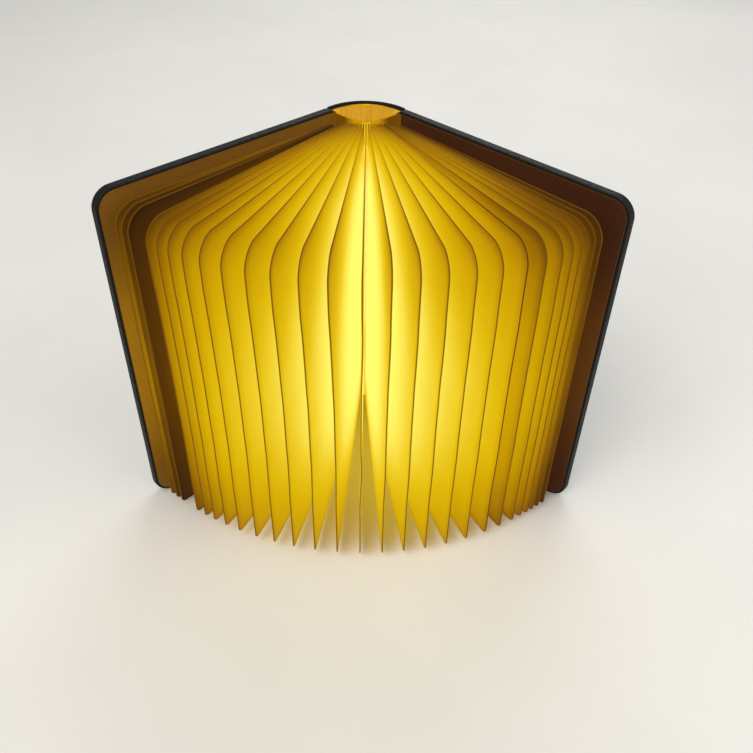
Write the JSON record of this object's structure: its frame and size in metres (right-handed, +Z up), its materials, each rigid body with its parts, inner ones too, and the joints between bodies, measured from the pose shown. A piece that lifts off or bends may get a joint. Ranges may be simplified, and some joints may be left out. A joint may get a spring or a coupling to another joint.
{
  "type": "folding book lamp",
  "caption": "Hardback book-shaped lamp that opens on a fan of glowing paper leaves around an upright rechargeable light bar",
  "frame": {"origin": "Foot of the spine board, at the middle of its thickness and width, on the surface that the lamp stands on", "axes": "+X to the right across the open book as seen from the fore edges, +Y from the leaves to the spine's back, +Z up along the spine"},
  "size_m": [0.1532, 0.0979, 0.122],
  "materials": {
    "leather": "fine black grain, slightly worn at the edges",
    "endpaper": "dark brown smooth endpaper",
    "greyboard": "plain grey board",
    "leaf_paper": "fibrous tear-proof paper, lit from behind",
    "lining_paper": "fibrous paper, lit",
    "milky_plastic": "frosted, lets light through",
    "black_plastic": "fine matt",
    "steel": "plated",
    "white_board": "white solder mask",
    "green_board": "green solder mask",
    "chip_yellow": "phosphor window",
    "foil": "pouch foil",
    "red_wire": "insulation",
    "white_wire": "insulation",
    "lamp_red": "clear red"
  },
  "bodies": {
    "spine_unit": {"spine_board": "black_plastic", "spine_strip": "leather", "spine_lining": "lining_paper", "bar_tray": "milky_plastic", "bar_diffuser": "milky_plastic", "bar_top_cap": "milky_plastic", "bar_foot_cap": "milky_plastic", "bar_screws": "steel", "light_board": "white_board", "light_chips": "chip_yellow", "lid_sensor": "black_plastic", "light_leads": "white_wire", "battery_cell": "foil", "battery_leads": "red_wire", "charge_board": "green_board", "charge_chip": "black_plastic", "charge_lamp": "lamp_red", "socket_shell": "steel", "socket_core": "black_plastic", "leaf_centre": "leaf_paper"},
    "left_cover": {"left_cover_skin": "leather", "left_cover_board": "greyboard", "left_endpaper": "endpaper", "left_magnets": "steel"},
    "right_cover": {"right_cover_skin": "leather", "right_cover_board": "greyboard", "right_endpaper": "endpaper", "right_magnets": "steel", "sensor_magnet": "steel"},
    "left_leaf_01": {"leaf_left_01": "leaf_paper"},
    "left_leaf_02": {"leaf_left_02": "leaf_paper"},
    "left_leaf_03": {"leaf_left_03": "leaf_paper"},
    "left_leaf_04": {"leaf_left_04": "leaf_paper"},
    "left_leaf_05": {"leaf_left_05": "leaf_paper"},
    "left_leaf_06": {"leaf_left_06": "leaf_paper"},
    "left_leaf_07": {"leaf_left_07": "leaf_paper"},
    "left_leaf_08": {"leaf_left_08": "leaf_paper"},
    "left_leaf_09": {"leaf_left_09": "leaf_paper"},
    "left_leaf_10": {"leaf_left_10": "leaf_paper"},
    "left_leaf_11": {"leaf_left_11": "leaf_paper"},
    "left_leaf_12": {"leaf_left_12": "leaf_paper"},
    "left_leaf_13": {"leaf_left_13": "leaf_paper"},
    "right_leaf_01": {"leaf_right_01": "leaf_paper"},
    "right_leaf_02": {"leaf_right_02": "leaf_paper"},
    "right_leaf_03": {"leaf_right_03": "leaf_paper"},
    "right_leaf_04": {"leaf_right_04": "leaf_paper"},
    "right_leaf_05": {"leaf_right_05": "leaf_paper"},
    "right_leaf_06": {"leaf_right_06": "leaf_paper"},
    "right_leaf_07": {"leaf_right_07": "leaf_paper"},
    "right_leaf_08": {"leaf_right_08": "leaf_paper"},
    "right_leaf_09": {"leaf_right_09": "leaf_paper"},
    "right_leaf_10": {"leaf_right_10": "leaf_paper"},
    "right_leaf_11": {"leaf_right_11": "leaf_paper"},
    "right_leaf_12": {"leaf_right_12": "leaf_paper"},
    "right_leaf_13": {"leaf_right_13": "leaf_paper"}
  },
  "joints": [
    {"name": "left_cover_hinge", "type": "hinge", "parent": "spine_unit", "child": "left_cover", "pos_m": [-0.0063, 0, 0], "axis": [0, 0, -1], "range_deg": [-46, 134], "deforming": ["spine_strip", "spine_lining"]},
    {"name": "right_cover_hinge", "type": "hinge", "parent": "spine_unit", "child": "right_cover", "pos_m": [0.0063, 0, 0], "axis": [0, 0, 1], "range_deg": [-46, 134], "deforming": ["spine_strip", "spine_lining"]},
    {"name": "left_leaf_01_fold", "type": "hinge", "parent": "spine_unit", "child": "left_leaf_01", "pos_m": [-0.00054, -0.00181, 0], "axis": [0, 0, -1], "range_deg": [-5.2, 14.2]},
    {"name": "left_leaf_02_fold", "type": "hinge", "parent": "spine_unit", "child": "left_leaf_02", "pos_m": [-0.00107, -0.00181, 0], "axis": [0, 0, -1], "range_deg": [-9.8, 27.6]},
    {"name": "left_leaf_03_fold", "type": "hinge", "parent": "spine_unit", "child": "left_leaf_03", "pos_m": [-0.0016, -0.00181, 0], "axis": [0, 0, -1], "range_deg": [-14.3, 40.7]},
    {"name": "left_leaf_04_fold", "type": "hinge", "parent": "spine_unit", "child": "left_leaf_04", "pos_m": [-0.00211, -0.00182, 0], "axis": [0, 0, -1], "range_deg": [-18.5, 52.9]},
    {"name": "left_leaf_05_fold", "type": "hinge", "parent": "spine_unit", "child": "left_leaf_05", "pos_m": [-0.00262, -0.00181, 0], "axis": [0, 0, -1], "range_deg": [-22.6, 64.9]},
    {"name": "left_leaf_06_fold", "type": "hinge", "parent": "spine_unit", "child": "left_leaf_06", "pos_m": [-0.00312, -0.00179, 0], "axis": [0, 0, -1], "range_deg": [-26.5, 76.2]},
    {"name": "left_leaf_07_fold", "type": "hinge", "parent": "spine_unit", "child": "left_leaf_07", "pos_m": [-0.00359, -0.00178, 0], "axis": [0, 0, -1], "range_deg": [-29.8, 85.9]},
    {"name": "left_leaf_08_fold", "type": "hinge", "parent": "spine_unit", "child": "left_leaf_08", "pos_m": [-0.00404, -0.00177, 0], "axis": [0, 0, -1], "range_deg": [-32.6, 94]},
    {"name": "left_leaf_09_fold", "type": "hinge", "parent": "spine_unit", "child": "left_leaf_09", "pos_m": [-0.00446, -0.00177, 0], "axis": [0, 0, -1], "range_deg": [-34.9, 100.7]},
    {"name": "left_leaf_10_fold", "type": "hinge", "parent": "spine_unit", "child": "left_leaf_10", "pos_m": [-0.00488, -0.00174, 0], "axis": [0, 0, -1], "range_deg": [-37.1, 107.1]},
    {"name": "left_leaf_11_fold", "type": "hinge", "parent": "spine_unit", "child": "left_leaf_11", "pos_m": [-0.00541, -0.00153, 0], "axis": [0, 0, -1], "range_deg": [-41.7, 120.5]},
    {"name": "left_leaf_12_fold", "type": "hinge", "parent": "spine_unit", "child": "left_leaf_12", "pos_m": [-0.00579, -0.00149, 0], "axis": [0, 0, -1], "range_deg": [-43.1, 124.6]},
    {"name": "left_leaf_13_fold", "type": "hinge", "parent": "spine_unit", "child": "left_leaf_13", "pos_m": [-0.00616, -0.00143, 0], "axis": [0, 0, -1], "range_deg": [-44.5, 128.7]},
    {"name": "right_leaf_01_fold", "type": "hinge", "parent": "spine_unit", "child": "right_leaf_01", "pos_m": [0.00053, -0.00185, 0], "axis": [0, 0, 1], "range_deg": [-5.1, 13.9]},
    {"name": "right_leaf_02_fold", "type": "hinge", "parent": "spine_unit", "child": "right_leaf_02", "pos_m": [0.00106, -0.00186, 0], "axis": [0, 0, 1], "range_deg": [-9.6, 27]},
    {"name": "right_leaf_03_fold", "type": "hinge", "parent": "spine_unit", "child": "right_leaf_03", "pos_m": [0.00159, -0.00184, 0], "axis": [0, 0, 1], "range_deg": [-14.1, 40.1]},
    {"name": "right_leaf_04_fold", "type": "hinge", "parent": "spine_unit", "child": "right_leaf_04", "pos_m": [0.00212, -0.0018, 0], "axis": [0, 0, 1], "range_deg": [-18.7, 53.5]},
    {"name": "right_leaf_05_fold", "type": "hinge", "parent": "spine_unit", "child": "right_leaf_05", "pos_m": [0.00265, -0.00176, 0], "axis": [0, 0, 1], "range_deg": [-23.2, 66.6]},
    {"name": "right_leaf_06_fold", "type": "hinge", "parent": "spine_unit", "child": "right_leaf_06", "pos_m": [0.00318, -0.0017, 0], "axis": [0, 0, 1], "range_deg": [-27.7, 79.7]},
    {"name": "right_leaf_07_fold", "type": "hinge", "parent": "spine_unit", "child": "right_leaf_07", "pos_m": [0.00366, -0.00169, 0], "axis": [0, 0, 1], "range_deg": [-31.3, 90.2]},
    {"name": "right_leaf_08_fold", "type": "hinge", "parent": "spine_unit", "child": "right_leaf_08", "pos_m": [0.00413, -0.00166, 0], "axis": [0, 0, 1], "range_deg": [-34.6, 99.8]},
    {"name": "right_leaf_09_fold", "type": "hinge", "parent": "spine_unit", "child": "right_leaf_09", "pos_m": [0.00455, -0.00166, 0], "axis": [0, 0, 1], "range_deg": [-36.7, 106]},
    {"name": "right_leaf_10_fold", "type": "hinge", "parent": "spine_unit", "child": "right_leaf_10", "pos_m": [0.00493, -0.00166, 0], "axis": [0, 0, 1], "range_deg": [-38.3, 110.6]},
    {"name": "right_leaf_11_fold", "type": "hinge", "parent": "spine_unit", "child": "right_leaf_11", "pos_m": [0.00531, -0.00166, 0], "axis": [0, 0, 1], "range_deg": [-39.7, 114.7]},
    {"name": "right_leaf_12_fold", "type": "hinge", "parent": "spine_unit", "child": "right_leaf_12", "pos_m": [0.00569, -0.00163, 0], "axis": [0, 0, 1], "range_deg": [-41.1, 118.8]},
    {"name": "right_leaf_13_fold", "type": "hinge", "parent": "spine_unit", "child": "right_leaf_13", "pos_m": [0.00607, -0.00157, 0], "axis": [0, 0, 1], "range_deg": [-42.5, 122.8]}
  ],
  "couplings": [
    {"joint": "left_leaf_01_fold", "follows": "left_cover_hinge", "ratio": 0.10217},
    {"joint": "left_leaf_02_fold", "follows": "left_cover_hinge", "ratio": 0.20217},
    {"joint": "left_leaf_03_fold", "follows": "left_cover_hinge", "ratio": 0.3},
    {"joint": "left_leaf_04_fold", "follows": "left_cover_hinge", "ratio": 0.3913},
    {"joint": "left_leaf_05_fold", "follows": "left_cover_hinge", "ratio": 0.48044},
    {"joint": "left_leaf_06_fold", "follows": "left_cover_hinge", "ratio": 0.56522},
    {"joint": "left_leaf_07_fold", "follows": "left_cover_hinge", "ratio": 0.63696},
    {"joint": "left_leaf_08_fold", "follows": "left_cover_hinge", "ratio": 0.69783},
    {"joint": "left_leaf_09_fold", "follows": "left_cover_hinge", "ratio": 0.74783},
    {"joint": "left_leaf_10_fold", "follows": "left_cover_hinge", "ratio": 0.79565},
    {"joint": "left_leaf_11_fold", "follows": "left_cover_hinge", "ratio": 0.89565},
    {"joint": "left_leaf_12_fold", "follows": "left_cover_hinge", "ratio": 0.92609},
    {"joint": "left_leaf_13_fold", "follows": "left_cover_hinge", "ratio": 0.95652},
    {"joint": "right_leaf_01_fold", "follows": "right_cover_hinge", "ratio": 0.1},
    {"joint": "right_leaf_02_fold", "follows": "right_cover_hinge", "ratio": 0.19783},
    {"joint": "right_leaf_03_fold", "follows": "right_cover_hinge", "ratio": 0.29565},
    {"joint": "right_leaf_04_fold", "follows": "right_cover_hinge", "ratio": 0.39565},
    {"joint": "right_leaf_05_fold", "follows": "right_cover_hinge", "ratio": 0.49348},
    {"joint": "right_leaf_06_fold", "follows": "right_cover_hinge", "ratio": 0.5913},
    {"joint": "right_leaf_07_fold", "follows": "right_cover_hinge", "ratio": 0.66956},
    {"joint": "right_leaf_08_fold", "follows": "right_cover_hinge", "ratio": 0.7413},
    {"joint": "right_leaf_09_fold", "follows": "right_cover_hinge", "ratio": 0.78696},
    {"joint": "right_leaf_10_fold", "follows": "right_cover_hinge", "ratio": 0.82174},
    {"joint": "right_leaf_11_fold", "follows": "right_cover_hinge", "ratio": 0.85217},
    {"joint": "right_leaf_12_fold", "follows": "right_cover_hinge", "ratio": 0.88261},
    {"joint": "right_leaf_13_fold", "follows": "right_cover_hinge", "ratio": 0.91304}
  ]
}
